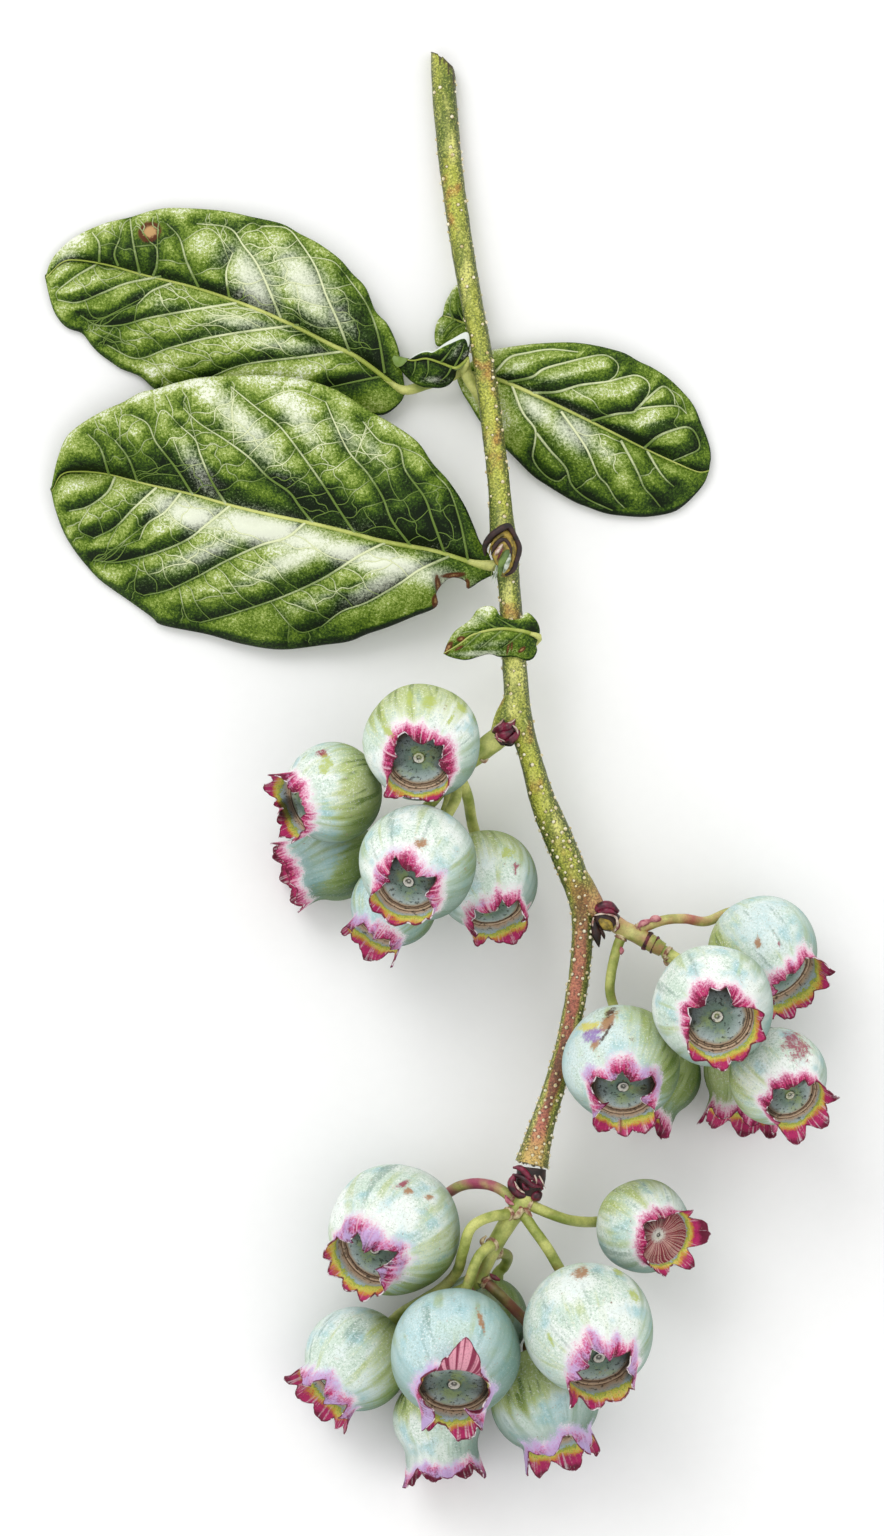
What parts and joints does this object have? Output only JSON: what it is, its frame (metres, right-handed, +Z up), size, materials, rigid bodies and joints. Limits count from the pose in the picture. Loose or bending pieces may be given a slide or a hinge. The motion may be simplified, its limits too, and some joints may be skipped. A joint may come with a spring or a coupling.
{
  "type": "blueberry sprig",
  "caption": "Cut blueberry sprig lying on a surface: leafy twig with clusters of pale blue-green berries that wear pink calyx crowns.",
  "frame": {"origin": "on the surface it lies on, under the middle of its bounding box", "axes": "+Y along the sprig towards the cut end of its stem, +Z up from the surface it lies on, +X to the right seen from above with the cut end away"},
  "size_m": [0.0866, 0.1592, 0.0299],
  "materials": {
    "bark": "smooth green bark with pale warts, reddening towards the tip",
    "leaf": "dark green, satin, puckered between pale veins",
    "young_leaf": "mid green, satin",
    "bud": "matte brown scales round green shoots",
    "scales": "matte dark crimson",
    "stalk": "smooth pale green, flushed brown",
    "fruit": "pale blue-green with a matte white bloom, pink calyx"
  },
  "bodies": {
    "root": {"main_stem": "bark", "side_shoot": "bark", "leaf_upper_left": "leaf", "leaf_lower_left": "leaf", "leaf_right": "leaf", "leaf_small_back": "young_leaf", "leaf_curled": "young_leaf", "leaf_clasping": "young_leaf", "opening_bud": "bud", "bud_scales_upper": "scales", "bud_scales_right": "scales", "bud_scales_tip": "scales", "rachis_upper": "stalk", "rachis_right": "stalk", "rachis_lower": "stalk", "pedicel_upper_1": "stalk", "pedicel_upper_2": "stalk", "pedicel_upper_3": "stalk", "pedicel_upper_4": "stalk", "pedicel_upper_5": "stalk", "pedicel_upper_6": "stalk", "pedicel_right_1": "stalk", "pedicel_right_2": "stalk", "pedicel_right_3": "stalk", "pedicel_right_4": "stalk", "pedicel_right_5": "stalk", "pedicel_right_6": "stalk", "pedicel_lower_1": "stalk", "pedicel_lower_2": "stalk", "pedicel_lower_3": "stalk", "pedicel_lower_4": "stalk", "pedicel_lower_5": "stalk", "pedicel_lower_6": "stalk", "pedicel_lower_7": "stalk", "pedicel_lower_8": "stalk", "berry_upper_1": "fruit", "berry_upper_2": "fruit", "berry_upper_3": "fruit", "berry_upper_4": "fruit", "berry_upper_5": "fruit", "berry_upper_6": "fruit", "berry_right_1": "fruit", "berry_right_2": "fruit", "berry_right_3": "fruit", "berry_right_4": "fruit", "berry_right_5": "fruit", "berry_right_6": "fruit", "berry_lower_1": "fruit", "berry_lower_2": "fruit", "berry_lower_3": "fruit", "berry_lower_4": "fruit", "berry_lower_5": "fruit", "berry_lower_6": "fruit", "berry_lower_7": "fruit", "berry_lower_8": "fruit"}
  },
  "joints": []
}
